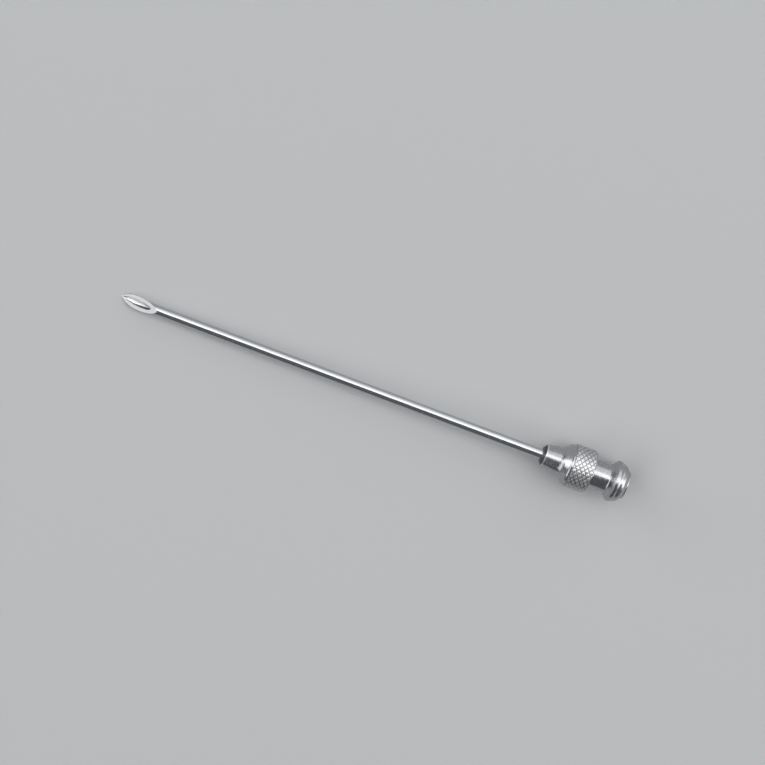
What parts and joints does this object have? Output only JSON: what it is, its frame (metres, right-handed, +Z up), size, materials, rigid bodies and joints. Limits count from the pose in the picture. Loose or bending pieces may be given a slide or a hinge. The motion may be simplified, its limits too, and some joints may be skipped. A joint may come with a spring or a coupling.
{
  "type": "injection cannula",
  "caption": "Reusable metal injection cannula: a long thin steel tube with a ground leaf-shaped lancet point, fixed in a turned Luer hub with a diamond-knurled grip.",
  "frame": {"origin": "middle of the bounding box in plan, on the surface that the cannula lies on", "axes": "+X from the point towards the Luer socket, +Z up; the cannula lies on its point and on the front of its knurled band, so its axis rises about 2 degrees towards the hub, with the point's opening up"},
  "size_m": [0.096, 0.0078, 0.008],
  "materials": {
    "tube_steel": "drawn stainless tube, finely polished along its length, with a ground point",
    "hub_metal": "turned and plated, with fine turning marks round the axis"
  },
  "bodies": {
    "root": {"cannula_tube": "tube_steel", "luer_hub": "hub_metal"}
  },
  "joints": []
}
